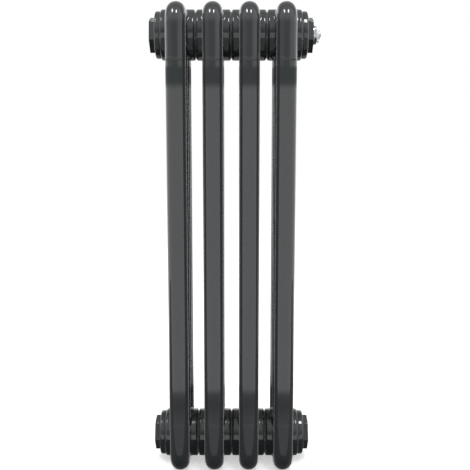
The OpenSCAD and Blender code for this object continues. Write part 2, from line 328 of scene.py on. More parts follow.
@dataclass(frozen=True)
class Finish:
    """A surface with a little grain in its colour, its gloss and its height.

    Attributes:
        title: The material's name.
        slot: The name of a material slot; not used.
        colour: The base colour, linear.
        shade: The base colour in the dips of the grain, linear.
        metallic: How metallic the surface is.
        rough: The lowest and the highest roughness.
        coat: The weight of the clear coat.
        coat_rough: The roughness of the clear coat.
        sheen: How much lighter the surface looks along its edges, as a weight.
        sheen_rough: The roughness of that sheen.
        coarse: Coarse grains in a metre.
        fine: Fine grains in a metre.
        bump: The height of the relief.
        dust: How much dust lies on the faces that look up.
        span: The part of the grain's range that the colour and the roughness follow.
    """

    title: str
    slot: str
    colour: Colour
    shade: Colour
    metallic: float = 0.0
    rough: Pair = (0.3, 0.45)
    coat: float = 0.0
    coat_rough: float = 0.05
    sheen: float = 0.0
    sheen_rough: float = 0.3
    coarse: float = 40.0
    fine: float = 900.0
    bump: float = 0.01 * MM
    dust: float = 0.1
    span: Pair = (0.35, 0.65)

    def material(self) -> bpy.types.Material:
        """Makes the material once.

        Returns:
            The material.
        """
        found = bpy.data.materials.get(self.title)
        if found:
            return found
        material = bpy.data.materials.new(self.title)
        material.use_nodes = True
        nodes = Nodes(material.node_tree)
        shader = material.node_tree.nodes["Principled BSDF"]
        shader.inputs["Metallic"].default_value = self.metallic
        shader.inputs["Coat Weight"].default_value = self.coat
        shader.inputs["Coat Roughness"].default_value = self.coat_rough
        shader.inputs["Sheen Weight"].default_value = self.sheen
        shader.inputs["Sheen Roughness"].default_value = self.sheen_rough
        self.dress(nodes, shader)
        return material

    def dress(self, nodes: Nodes, shader: bpy.types.Node) -> None:
        """Feeds the shader's colour, roughness and normal.

        Args:
            nodes: The material's nodes.
            shader: The material's Principled BSDF.
        """
        grain = GRAIN.place(nodes, coarse=self.coarse, fine=self.fine)
        dust = DUST.place(nodes, amount=self.dust)
        clean = nodes.mix(nodes.spread(grain, self.span), self.shade, self.colour)
        nodes.put(shader.inputs["Base Color"], nodes.mix(dust, clean, DUST_COLOUR))
        rough = nodes.spread(grain, self.span, *self.rough)
        nodes.put(shader.inputs["Roughness"], self.dulled(nodes, rough, dust))
        self.relief(nodes, shader, self.height(nodes, grain))

    def dulled(self, nodes: Nodes, rough: Socket, dust: Socket) -> Socket:
        """Keeps the roughness at least as high as the dust."""
        return nodes.math("MAXIMUM", rough, dust)

    def height(self, nodes: Nodes, grain: Socket) -> Socket:
        """Takes the grain as the relief's height."""
        return grain

    def relief(self, nodes: Nodes, shader: bpy.types.Node, height: Socket) -> None:
        """Feeds the shader's normal from a height.

        Args:
            nodes: The material's nodes.
            shader: The material's Principled BSDF.
            height: The height's socket.
        """
        bump = nodes.add("Bump")
        bump.inputs["Strength"].default_value = 1.0
        bump.inputs["Distance"].default_value = self.bump
        nodes.put(bump.inputs["Height"], height)
        nodes.put(shader.inputs["Normal"], bump.outputs[0])


@dataclass(frozen=True)
class GlossEnamel(Finish):
    """Baked gloss paint with a faint orange peel, a slow drift of tone and a little dust on top.

    Attributes:
        ripples: Fine ripples of the peel in a metre.
        waves: Slow waves of the peel in a metre.
        dulling: How much of the dust adds to the roughness.
    """

    ripples: float = 900.0
    waves: float = 110.0
    dulling: float = 0.5

    def dulled(self, nodes: Nodes, rough: Socket, dust: Socket) -> Socket:
        """Adds a share of the dust to the roughness."""
        return nodes.math("MULTIPLY_ADD", dust, self.dulling, rough)

    def height(self, nodes: Nodes, grain: Socket) -> Socket:
        """Takes the orange peel as the relief's height."""
        return PEEL.place(nodes, ripples=self.ripples, waves=self.waves)


@dataclass(frozen=True)
class TurnedMetal(Finish):
    """Bright or bare metal with fine turning marks.

    Attributes:
        marks: Turning marks in a metre.
    """

    marks: float = 2500.0

    def dress(self, nodes: Nodes, shader: bpy.types.Node) -> None:
        """Feeds the shader's colour, roughness and normal.

        Args:
            nodes: The material's nodes.
            shader: The material's Principled BSDF.
        """
        strokes = STROKES.place(nodes, marks=self.marks)
        smear = nodes.spread(GRAIN.place(nodes, coarse=self.coarse, fine=self.fine), self.span)
        nodes.put(shader.inputs["Base Color"], nodes.mix(smear, self.shade, self.colour))
        share = nodes.math("MULTIPLY_ADD", strokes, 0.5, nodes.math("MULTIPLY", smear, 0.5))
        nodes.put(shader.inputs["Roughness"], nodes.spread(share, (0.0, 1.0), *self.rough))
        self.relief(nodes, shader, strokes)


DUST_COLOUR: Colour = (0.32, 0.31, 0.29, 1)
ENAMEL = GlossEnamel(
    "anthracite_enamel",
    "enamel",
    colour=(0.036, 0.041, 0.0445, 1),
    shade=(0.031, 0.036, 0.0385, 1),
    rough=(0.02, 0.045),
    coat=0.7,
    coat_rough=0.012,
    coarse=14.0,
    fine=260.0,
    bump=0.0006 * MM,
    dust=0.05,
    sheen=0.8,
    span=(0.3, 0.7),
)
CHROME = TurnedMetal(
    "bright_chrome",
    "chrome",
    colour=(0.78, 0.79, 0.8, 1),
    shade=(0.68, 0.69, 0.7, 1),
    metallic=1.0,
    rough=(0.05, 0.13),
    bump=0.0003 * MM,
)
WHITE_PLASTIC = Finish(
    "white_moulded_plastic",
    "white_plastic",
    colour=(0.86, 0.87, 0.88, 1),
    shade=(0.8, 0.81, 0.815, 1),
    rough=(0.28, 0.36),
    coarse=120.0,
    fine=3000.0,
    bump=0.004 * MM,
    dust=0.04,
)
RUBBER = Finish(
    "painted_over_gasket",
    "gasket",
    colour=(0.034, 0.039, 0.042, 1),
    shade=(0.026, 0.03, 0.032, 1),
    rough=(0.3, 0.45),
    coarse=300.0,
    fine=4000.0,
    bump=0.008 * MM,
)
SEAL_RUBBER = Finish(
    "seal_rubber",
    "seal_rubber",
    colour=(0.018, 0.018, 0.02, 1),
    shade=(0.01, 0.01, 0.011, 1),
    rough=(0.35, 0.5),
    coarse=400.0,
    fine=6000.0,
    bump=0.006 * MM,
)
BRASS = TurnedMetal(
    "turned_brass",
    "brass",
    colour=(0.68, 0.59, 0.42, 1),
    shade=(0.5, 0.42, 0.28, 1),
    metallic=1.0,
    rough=(0.18, 0.34),
    coarse=200.0,
    bump=0.004 * MM,
)
NIPPLE_STEEL = TurnedMetal(
    "bare_nipple_steel",
    "nipple_steel",
    colour=(0.42, 0.41, 0.4, 1),
    shade=(0.27, 0.26, 0.25, 1),
    metallic=1.0,
    rough=(0.28, 0.5),
    bump=0.006 * MM,
)
SPRING_STEEL = TurnedMetal(
    "spring_steel",
    "spring_steel",
    colour=(0.55, 0.56, 0.57, 1),
    shade=(0.42, 0.42, 0.43, 1),
    metallic=1.0,
    rough=(0.15, 0.3),
    bump=0.003 * MM,
)


# ---------------------------------------------------------------- mesh helpers


def link_object(name: str, data: bpy.types.ID) -> bpy.types.Object:
    """Makes an object and links it to the scene.

    Args:
        name: The object's name.
        data: Its mesh, light or camera.

    Returns:
        The object.
    """
    made = bpy.data.objects.new(name, data)
    bpy.context.scene.collection.objects.link(made)
    return made


def place_piece(mesh: bpy.types.Mesh, name: str, finish: Finish, body: str, node: str) -> bpy.types.Object:
    """Shows a mesh as a piece that stands for a CAD node.

    Args:
        mesh: The piece's mesh, in its place or moved later.
        name: The piece's name.
        finish: Its finish.
        body: The body that it rides on.
        node: The CAD node that it stands for.

    Returns:
        The piece.
    """
    piece = link_object(name, mesh)
    if not mesh.materials:
        mesh.materials.append(finish.material())
    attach(piece, body)
    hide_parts(node)
    LOG.info("%s: %d faces on %s, in %s", name, len(mesh.polygons), body, finish.title)
    return piece


def dress_node(name: str, finish: Finish) -> None:
    """Gives a CAD node its finish.

    Args:
        name: The node's name.
        finish: The finish.
    """
    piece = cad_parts[name]
    piece.data.materials.clear()
    piece.data.materials.append(finish.material())
    LOG.info("%s: kept from the frame, in %s", name, finish.title)


def make_mesh(name: str, points: np.ndarray, faces: Sequence[Sequence[int]]) -> bpy.types.Mesh:
    """Makes a mesh that is smooth but for its sharp edges.

    Args:
        name: The mesh's name.
        points: One row of X, Y and Z for each point.
        faces: Each face's points.

    Returns:
        The mesh.
    """
    mesh = bpy.data.meshes.new(name)
    mesh.from_pydata([tuple(p) for p in points], [], [tuple(int(i) for i in f) for f in faces])
    mesh.validate()
    mesh.polygons.foreach_set("use_smooth", [True] * len(mesh.polygons))
    mesh.set_sharp_from_angle(angle=SMOOTH_BELOW)
    mesh.update()
    return mesh


@dataclass
class Ring:
    """One ring of a turned surface.

    Attributes:
        x: Where it lies along the axis, one number or one for each angle.
        r: Its radius, one number or one for each angle.
    """

    x: float | np.ndarray
    r: float | np.ndarray


def turned_surface(rings: Sequence[Ring], angles: np.ndarray, cyclic: bool) -> Surface:
    """Joins rings about the X axis into a closed surface.

    Args:
        rings: The rings, with the surface's inside on their left as they go along +X.
        angles: The angle of each point of a ring, from the front downwards.
        cyclic: Whether the last ring joins the first one. If not, both ends are closed by a fan.

    Returns:
        The points and the faces.
    """
    count = len(angles)
    rows = []
    for ring in rings:
        x = np.broadcast_to(ring.x, count)
        r = np.broadcast_to(ring.r, count)
        rows.append(np.stack([x, -r * np.cos(angles), -r * np.sin(angles)], axis=1))
    faces = []
    spans = len(rings) if cyclic else len(rings) - 1
    for i, j in itertools.product(range(spans), range(count)):
        a, b = i * count, (i + 1) % len(rings) * count
        k = (j + 1) % count
        faces.append((a + j, b + j, b + k, a + k))
    if not cyclic:
        for ring, turn in ((0, 1), (len(rings) - 1, -1)):
            middle = len(rings) * count + (turn < 0)
            rows.append(rows[ring].mean(axis=0, keepdims=True))
            for j in range(count):
                pair = (ring * count + j, ring * count + (j + 1) % count)
                faces.append((middle, *pair[::turn]))
    return np.concatenate(rows), faces


def even_angles(count: int) -> np.ndarray:
    """Angles spaced evenly around a ring.

    Args:
        count: How many there are.

    Returns:
        The angles.
    """
    return np.arange(count) * math.tau / count


def polygon_angles(sides: int, turn: float, steps: Sequence[float]) -> np.ndarray:
    """Angles around a ring that fall on a polygon's corners and between them.

    Args:
        sides: The polygon's sides.
        turn: The angle of its first corner.
        steps: The angles from one corner to just short of the next, in degrees, rising from 0.

    Returns:
        The angles.
    """
    return np.array([turn + math.tau / sides * i + math.radians(s) for i in range(sides) for s in steps])


def polygon_radius(angles: np.ndarray, across: float, sides: int, turn: float, corner_r: float) -> np.ndarray:
    """The radius of a polygon with its corners cut back.

    Args:
        angles: The angles to work it out at.
        across: The width across flats.
        sides: The polygon's sides.
        turn: The angle of its first corner.
        corner_r: The largest radius that a corner keeps.

    Returns:
        The radius at each angle.
    """
    half = math.pi / sides
    from_flat = np.mod(angles - turn, 2 * half) - half
    return np.minimum(across / 2 / np.cos(from_flat), corner_r)


def round_edge(x: float, r: float, size: float, steps: int = 5) -> list[Ring]:
    """Rings over a rounded outer edge, from the side to the end face that looks along +X.

    Args:
        x: Where the edge would be along the axis if it were sharp.
        r: The radius where it would be.
        size: The radius of the rounding.
        steps: How many rings there are.

    Returns:
        The rings.
    """
    turns = np.linspace(0, math.pi / 2, steps)
    return [Ring(x - size * (1 - math.sin(t)), r - size * (1 - math.cos(t))) for t in turns]


@dataclass(frozen=True)
class Hexagon:
    """A wrench hexagon about the X axis, whose corners are cut back and turned off at its end face.

    Attributes:
        across: The width across flats.
        turn: How far its first corner is below the front, in degrees.
        corner_cut: How far each corner is cut back along its whole length.
        chamfer: How far the corners are turned off at the end face.
        slant: The angle between that face and the turned-off corners, in radians.
        sides: How many sides it has.
        steps: The angles from one corner to the next at which it is meshed, in degrees.
    """

    across: float
    turn: float
    corner_cut: float
    chamfer: float
    slant: float = math.pi / 6
    sides: int = 6
    steps: tuple[float, ...] = (0, 1.2, 3, 6, 10, 15, 20, 25, 30, 35, 40, 45, 50, 54, 57, 58.8)

    def corner_r(self) -> float:
        """The radius to its sharp corners."""
        return self.across / 2 / math.cos(math.pi / self.sides)

    def angles(self) -> np.ndarray:
        """The angles at which it is meshed."""
        return polygon_angles(self.sides, math.radians(self.turn), self.steps)

    def radius(self) -> np.ndarray:
        """Its radius at each of its angles."""
        turn, kept_r = math.radians(self.turn), self.corner_r() - self.corner_cut
        return polygon_radius(self.angles(), self.across, self.sides, turn, kept_r)

    def end(self, x: float, inset: float, count: int) -> list[Ring]:
        """Rings over the turned-off corners and onto the end face.

        Args:
            x: Where the end face is.
            inset: How far the last ring lies inside the face's edge.
            count: How many rings there are over the corners.

        Returns:
            The rings.
        """
        radius = self.radius()
        face_r = self.corner_r() - self.chamfer
        slope = 1 / math.tan(self.slant)
        depths = np.linspace((self.corner_r() - face_r) / slope, 0, count)
        rings = [Ring(x - depth, np.minimum(radius, face_r + depth * slope)) for depth in depths]
        return rings + [Ring(x, np.minimum(radius, face_r) - inset)]


# ---------------------------------------------------------------- heads


def surface_net(distance: Field, low: Vector, high: Vector, cell: float) -> Surface:
    """Meshes the zero level of a distance field with four-sided faces.

    Args:
        distance: Gives the signed distance of rows of points, negative inside.
        low: The lowest corner of the space to mesh.
        high: The highest corner of it.
        cell: The size of a cell.

    Returns:
        The points and the faces.
    """
    counts = [int(math.ceil((high[i] - low[i]) / cell)) + 1 for i in range(3)]
    axes = [low[i] + cell * np.arange(counts[i]) for i in range(3)]
    grid = np.stack(np.meshgrid(*axes, indexing="ij"), axis=-1)
    value = distance(grid.reshape(-1, 3)).reshape(counts)
    cells = [n - 1 for n in counts]
    total = np.zeros((*cells, 3))
    hits = np.zeros(cells)
    crossings = []
    for axis in range(3):
        start = tuple(slice(None, -1) if i == axis else slice(None) for i in range(3))
        end = tuple(slice(1, None) if i == axis else slice(None) for i in range(3))
        a, b = value[start], value[end]
        crossed = (a < 0) != (b < 0)
        share = np.where(crossed, a / np.where(a == b, 1, a - b), 0)
        point = grid[start].copy()
        point[..., axis] += share * cell
        crossings.append((crossed, a < 0))
        for shift in itertools.product((0, 1), repeat=2):
            shifts = iter(shift)
            near = tuple(
                slice(None) if i == axis else slice(s := next(shifts), cells[i] + s) for i in range(3)
            )
            total += point[near] * crossed[near][..., None]
            hits += crossed[near]
    index = np.full(cells, -1)
    index[hits > 0] = np.arange(int((hits > 0).sum()))
    points = total[hits > 0] / hits[hits > 0][:, None]
    faces = []
    for axis, (crossed, outwards) in enumerate(crossings):
        u, v = (axis + 1) % 3, (axis + 2) % 3
        where = np.argwhere(crossed)
        corners = []
        for du, dv in ((-1, -1), (0, -1), (0, 0), (-1, 0)):
            at = where.copy()
            at[:, u] += du
            at[:, v] += dv
            corners.append(index[tuple(at.T)])
        quads = np.stack(corners, axis=1)
        faces.append(np.where(outwards[tuple(where.T)][:, None], quads, quads[:, ::-1]))
    return points, np.concatenate(faces)


@dataclass
class SectionHeads:
    """The pressed heads of every section: a bent duct, the inner stubs and the hub, blended into each other.

    Attributes:
        hub_r: The hub's radius.
        hub_edge_r: The rounding of the hub's rims.
        bore_r: The radius of the hub's bore.
        bend_r: The radius of the duct's bends, on its centre line.
        blend_r: How wide the fillets between duct and hub are.
        neck_t: The length over which a stub narrows into its tube.
        neck_r: The radius of a stub inside its tube.
        overlap: How far a stub reaches into its tube.
        cell: The size of the mesh's cells.
        margin: The space meshed around the head, in cells.
        pulls: How often the mesh's points are drawn onto the true surface.
        slope_step: The step over which the field's slope is taken.
        sections: How many sections there are.
        columns: How many tubes a section has from front to back.
        stub_ys: The places of its stubs along Y, read from the frame.
    """

    hub_r: float = 31.75 * MM
    hub_edge_r: float = 2.8 * MM
    bore_r: float = 19.475 * MM
    bend_r: float = 17.5 * MM
    blend_r: float = 3.2 * MM
    neck_t: float = 1.0 * MM
    neck_r: float = 11.9 * MM
    overlap: float = 2.0 * MM
    cell: float = 1.5 * MM
    margin: float = 2.5
    pulls: int = 4
    slope_step: float = 0.02 * MM
    sections: int = 4
    columns: int = 4
    stub_ys: list[float] = field(default_factory=list)

    def __post_init__(self) -> None:
        """Reads the places of the head's parts from the frame."""
        tubes = [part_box(f"section_1_tube_{c + 1}") for c in range(self.columns)]
        low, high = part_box("section_1_bottom_head")
        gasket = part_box("bottom_gasket_1")
        self.stub_ys = [(box[0].y + box[1].y) / 2 for box in tubes]
        self.duct_r = (tubes[0][1].x - tubes[0][0].x) / 2
        self.x = (low.x + high.x) / 2
        self.half_t = (high.x - low.x) / 2
        self.hub_z = (gasket[0].z + gasket[1].z) / 2
        self.stub_top = tubes[0][0].z
        self.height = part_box("section_1_top_head")[1].z

    def distance(self, p: np.ndarray) -> np.ndarray:
        """The signed distance from points to a lower head.

        Args:
            p: Rows of X, Y and Z, with X from the middle of the head.

        Returns:
            The distances, negative inside.
        """
        x, y, z = p[:, 0], np.abs(p[:, 1]), p[:, 2]
        outer_y = max(self.stub_ys)
        bend_y, bend_z = outer_y - self.bend_r, self.duct_r + self.bend_r
        narrow = np.clip((z - self.stub_top + self.neck_t) / self.neck_t, 0, 1)
        stub_r = self.duct_r - (self.duct_r - self.neck_r) * narrow * narrow * (3 - 2 * narrow)
        bar = np.where(y < bend_y, np.hypot(x, z - self.duct_r), math.inf)
        arc = np.hypot(np.hypot(y - bend_y, z - bend_z) - self.bend_r, x)
        bend = np.where((y >= bend_y) & (z <= bend_z), arc, math.inf)
        stub = np.where(z > bend_z, np.hypot(x, y - outer_y) - stub_r, math.inf)
        duct = np.minimum(np.minimum(bar, bend) - self.duct_r, stub)
        inner = np.full(len(p), math.inf)
        for stub_y in self.stub_ys[1:-1]:
            side = np.hypot(x, p[:, 1] - stub_y) - stub_r
            inner = np.minimum(inner, np.maximum(side, self.duct_r - z))
        over_rim = np.abs(x) - (self.half_t - self.hub_edge_r)
        over_side = np.hypot(y, z - self.hub_z) - (self.hub_r - self.hub_edge_r)
        drum = np.hypot(np.maximum(over_rim, 0), np.maximum(over_side, 0))
        drum += np.minimum(np.maximum(over_rim, over_side), 0) - self.hub_edge_r
        body = self.blended(self.blended(duct, inner), drum)
        body = np.maximum(body, z - self.stub_top - self.overlap)
        return np.maximum(body, self.bore_r - np.hypot(y, z - self.hub_z))

    def blended(self, a: np.ndarray, b: np.ndarray) -> np.ndarray:
        """Joins two distance fields with a fillet.

        Args:
            a: The first distances.
            b: The second distances.

        Returns:
            The joined distances.
        """
        a, b = np.minimum(a, 1.0), np.minimum(b, 1.0)
        near = np.maximum(self.blend_r - np.abs(a - b), 0) / self.blend_r
        return np.minimum(a, b) - near * near * self.blend_r / 4

    def slope(self, p: np.ndarray) -> np.ndarray:
        """The direction in which the distance grows.

        Args:
            p: Rows of X, Y and Z.

        Returns:
            A unit vector for each point.
        """
        shifts = np.eye(3) * self.slope_step
        slope = np.stack([self.distance(p + s) - self.distance(p - s) for s in shifts], axis=1)
        return slope / np.linalg.norm(slope, axis=1, keepdims=True)

    def head_mesh(self) -> bpy.types.Mesh:
        """Meshes a lower head, with its normals taken from the distance field.

        Returns:
            The mesh.
        """
        margin = self.margin * self.cell
        edge_y = max(self.stub_ys) + self.duct_r + margin
        low = Vector((-self.half_t - margin, -edge_y, -margin))
        high = Vector((self.half_t + margin, edge_y, self.stub_top + self.overlap + margin))
        points, faces = surface_net(self.distance, low, high, self.cell)
        for _ in range(self.pulls):
            points = points - self.slope(points) * self.distance(points)[:, None]
        mesh = make_mesh("pressed_head", points, faces)
        mesh.set_sharp_from_angle(angle=math.pi)
        mesh.normals_split_custom_set_from_vertices([tuple(n) for n in self.slope(points)])
        return mesh

    def build(self) -> None:
        """Stands a head at the foot and the top of every section."""
        mesh = self.head_mesh()
        for level, section in itertools.product(("bottom", "top"), range(1, self.sections + 1)):
            node = f"section_{section}_{level}_head"
            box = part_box(node)
            piece = place_piece(mesh, f"pressed_{level}_head_{section}", ENAMEL, "radiator", node)
            piece.location.x = (box[0].x + box[1].x) / 2
            if level == "top":
                piece.location.z = self.height
                piece.rotation_euler.x = math.pi


# ---------------------------------------------------------------- tubes


@dataclass
class ColumnTubes:
    """The column tubes, each with a flush weld bead at both ends.

    Attributes:
        wall: The wall of a tube.
        bead_half: Half the width of a weld bead.
        bead_h: How far a bead stands proud of the tube.
        bead_foot: How far a bead's inner end is sunk into the head.
        bead_rings: The rings over a bead.
        foot_reach: How far its inner end is from its middle, in half widths.
        plain_reach: Where plain rings follow it, in half widths, to keep the long faces' shading level.
        ripple: How much the bead's height changes along the seam.
        ripples: How many ripples a seam has.
        ripple_lean: How far the ripples lean over the bead, in radians of a ripple.
        around: The points around a tube.
        sections: How many sections there are.
        columns: How many tubes a section has from front to back.
    """

    wall: float = 1.25 * MM
    bead_half: float = 1.15 * MM
    bead_h: float = 0.03 * MM
    bead_foot: float = 0.2 * MM
    bead_rings: int = 9
    foot_reach: float = 1.4
    plain_reach: tuple[float, ...] = (1.8, 3, 6)
    ripple: float = 0.006 * MM
    ripples: int = 44
    ripple_lean: float = 2.2
    around: int = 88
    sections: int = 4
    columns: int = 4

    def seam(self, z: float, way: int, r: float, angles: np.ndarray) -> list[Ring]:
        """Rings from the middle of a weld bead to the plain tube.

        Args:
            z: The height of the seam.
            way: 1 if the tube is above the seam, and -1 if it is below.
            r: The tube's radius.
            angles: The angles around the tube.

        Returns:
            The rings, from inside the head to the plain tube.
        """
        rings = [Ring(z - way * self.foot_reach * self.bead_half, r - self.bead_foot)]
        for share in np.linspace(-1, 1, self.bead_rings):
            wave = self.ripple * np.sin(self.ripples * angles + self.ripple_lean * share)
            crown = math.cos(share * math.pi / 2)
            proud = self.bead_h * (1 + 2 * crown) / 3 + wave * crown
            rings.append(Ring(z + way * share * self.bead_half, r + proud))
        return rings + [Ring(z + way * reach * self.bead_half, r) for reach in self.plain_reach]

    def tube_mesh(self) -> bpy.types.Mesh:
        """Meshes one tube about the Z axis.

        Returns:
            The mesh.
        """
        low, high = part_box("section_1_tube_1")
        r = (high.x - low.x) / 2
        angles = even_angles(self.around)
        rings = self.seam(low.z, 1, r, angles) + self.seam(high.z, -1, r, angles)[::-1]
        inner = [Ring(high.z, r - self.wall), Ring(low.z, r - self.wall)]
        points, faces = turned_surface(rings + inner, angles, cyclic=True)
        return make_mesh("column_tube", points[:, [1, 2, 0]], faces)

    def build(self) -> None:
        """Stands the tubes of every section."""
        mesh = self.tube_mesh()
        for section, column in itertools.product(range(1, self.sections + 1), range(1, self.columns + 1)):
            node = f"section_{section}_tube_{column}"
            low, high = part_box(node)
            piece = place_piece(mesh, f"column_tube_{section}_{column}", ENAMEL, "radiator", node)
            piece.location = ((low.x + high.x) / 2, (low.y + high.y) / 2, 0)


# ---------------------------------------------------------------- bushes and plug


class FittingKind(Enum):
    """What the middle of an end fitting is."""

    PORT = "an open pipe thread"
    BLANK = "a closed face"


@dataclass
class EndFitting:
    """A bush or plug screwed into the end of the hubs: shank, round flange and hexagon.

    Attributes:
        node: The CAD node that it stands for.
        kind: What its middle is.
        hexagon: Its wrench part.
        flange_t: How thick the flange is.
        flange_edge_r: The rounding of the flange's rim.
        hex_t: How far the hexagon stands out from the flange.
        root_r: The rounding where the flange meets the shank and the hexagon.
        shank_r: The radius of the shank.
        shank_wall: The wall of the shank.
        port_r: The radius to the crests of the port's thread.
        port_t: How deep the port is.
        port_chamfer: The chamfer at the port's mouth.
        pitch: The thread's pitch.
        thread_t: The thread's depth.
        turn_steps: The rings over one pitch of the thread.
        thread_flat: The share of the depth that is cut off as flats.
    """

    node: str
    kind: FittingKind
    hexagon: Hexagon
    flange_t: float = 6 * MM
    flange_edge_r: float = 2.4 * MM
    hex_t: float = 7 * MM
    root_r: float = 0.6 * MM
    shank_r: float = 19.425 * MM
    shank_wall: float = 3.5 * MM
    port_r: float = 9.315 * MM
    port_t: float = 15 * MM
    port_chamfer: float = 0.8 * MM
    pitch: float = 1.814 * MM
    thread_t: float = 1.162 * MM
    turn_steps: int = 6
    thread_flat: float = 0.125

    def outside(self, shank: float, length: float, flange_r: float) -> list[Ring]:
        """Rings from the inner end of the shank to the edge of the hexagon's face.

        Args:
            shank: How far the shank reaches inwards from the flange.
            length: How far the hexagon's face is from the flange's inner side.
            flange_r: The flange's radius.

        Returns:
            The rings.
        """
        hexagon = self.hexagon.radius()
        root = self.root_r / 3
        rings = [Ring(-shank, self.shank_r - self.root_r), Ring(-shank + self.root_r, self.shank_r)]
        rings += [Ring(-self.root_r, self.shank_r), Ring(0, self.shank_r + self.root_r)]
        rings += [Ring(0, flange_r - self.root_r / 2), Ring(self.root_r / 2, flange_r)]
        rings += round_edge(self.flange_t, flange_r, self.flange_edge_r, steps=8)
        rings += [Ring(self.flange_t, hexagon + self.root_r), Ring(self.flange_t + root, hexagon + root)]
        rings.append(Ring(self.flange_t + self.root_r, hexagon))
        return rings + self.hexagon.end(length, self.root_r / 2, count=9)

    def thread(self, angles: np.ndarray, mouth: float) -> list[Ring]:
        """Rings down the pipe thread, from its chamfered mouth to its runout.

        Args:
            angles: The angles around the fitting.
            mouth: Where the mouth is along the axis.

        Returns:
            The rings.
        """
        start = mouth - 2 * self.port_chamfer
        rings = [Ring(mouth, self.port_r + 2 * self.port_chamfer), Ring(start, self.port_r)]
        steps = int((self.port_t - 3 * self.port_chamfer - self.pitch) / (self.pitch / self.turn_steps))
        for i in range(1, steps + 1):
            x = start - i * self.pitch / self.turn_steps
            phase = np.mod(x / self.pitch - angles / math.tau, 1)
            sharp = (1 + 2 * self.thread_flat) * (1 - np.abs(2 * phase - 1))
            tooth = np.clip(sharp - self.thread_flat, 0, 1)
            fade = min(1.0, i / self.turn_steps, (steps - i) / self.turn_steps)
            rings.append(Ring(x, self.port_r + self.thread_t * fade * tooth))
        return rings + [Ring(mouth - self.port_t, self.port_r)]

    def build(self) -> None:
        """Meshes the fitting and stands it in its place."""
        low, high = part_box(self.node)
        right = low.x + high.x > 0
        flange_r = (high.y - low.y) / 2
        outer, inner = (high.x, low.x) if right else (-low.x, -high.x)
        base = outer - self.hex_t - self.flange_t
        length, shank = outer - base, base - inner
        angles = self.hexagon.angles()
        rings = self.outside(shank, length, flange_r)
        shank_bore_r = self.shank_r - self.shank_wall
        if self.kind is FittingKind.PORT:
            rings += self.thread(angles, length)
            rings += [Ring(length - self.port_t, shank_bore_r), Ring(-shank, shank_bore_r)]
        else:
            bore_end = self.flange_t / 2
            rings = [Ring(bore_end, shank_bore_r), Ring(-shank, shank_bore_r), *rings]
        points, faces = turned_surface(rings, angles, cyclic=self.kind is FittingKind.PORT)
        side = 1 if right else -1
        points = points * (side, 1, 1) + (side * base, (low.y + high.y) / 2, (low.z + high.z) / 2)
        faces = faces if right else [f[::-1] for f in faces]
        mesh = make_mesh(self.node, points, faces)
        place_piece(mesh, f"painted_{self.node}", ENAMEL, "radiator", self.node)


UPPER_HEXAGON = Hexagon(across=40 * MM, turn=19, corner_cut=0.35 * MM, chamfer=0.8 * MM)
LOWER_HEXAGON = replace(UPPER_HEXAGON, turn=9)
FITTINGS = (
    EndFitting("blanking_plug", FittingKind.BLANK, UPPER_HEXAGON),
    EndFitting("vent_bush", FittingKind.PORT, UPPER_HEXAGON),
    EndFitting("left_port_bush", FittingKind.PORT, LOWER_HEXAGON),
    EndFitting("right_port_bush", FittingKind.PORT, LOWER_HEXAGON),
)


# ---------------------------------------------------------------- air vent


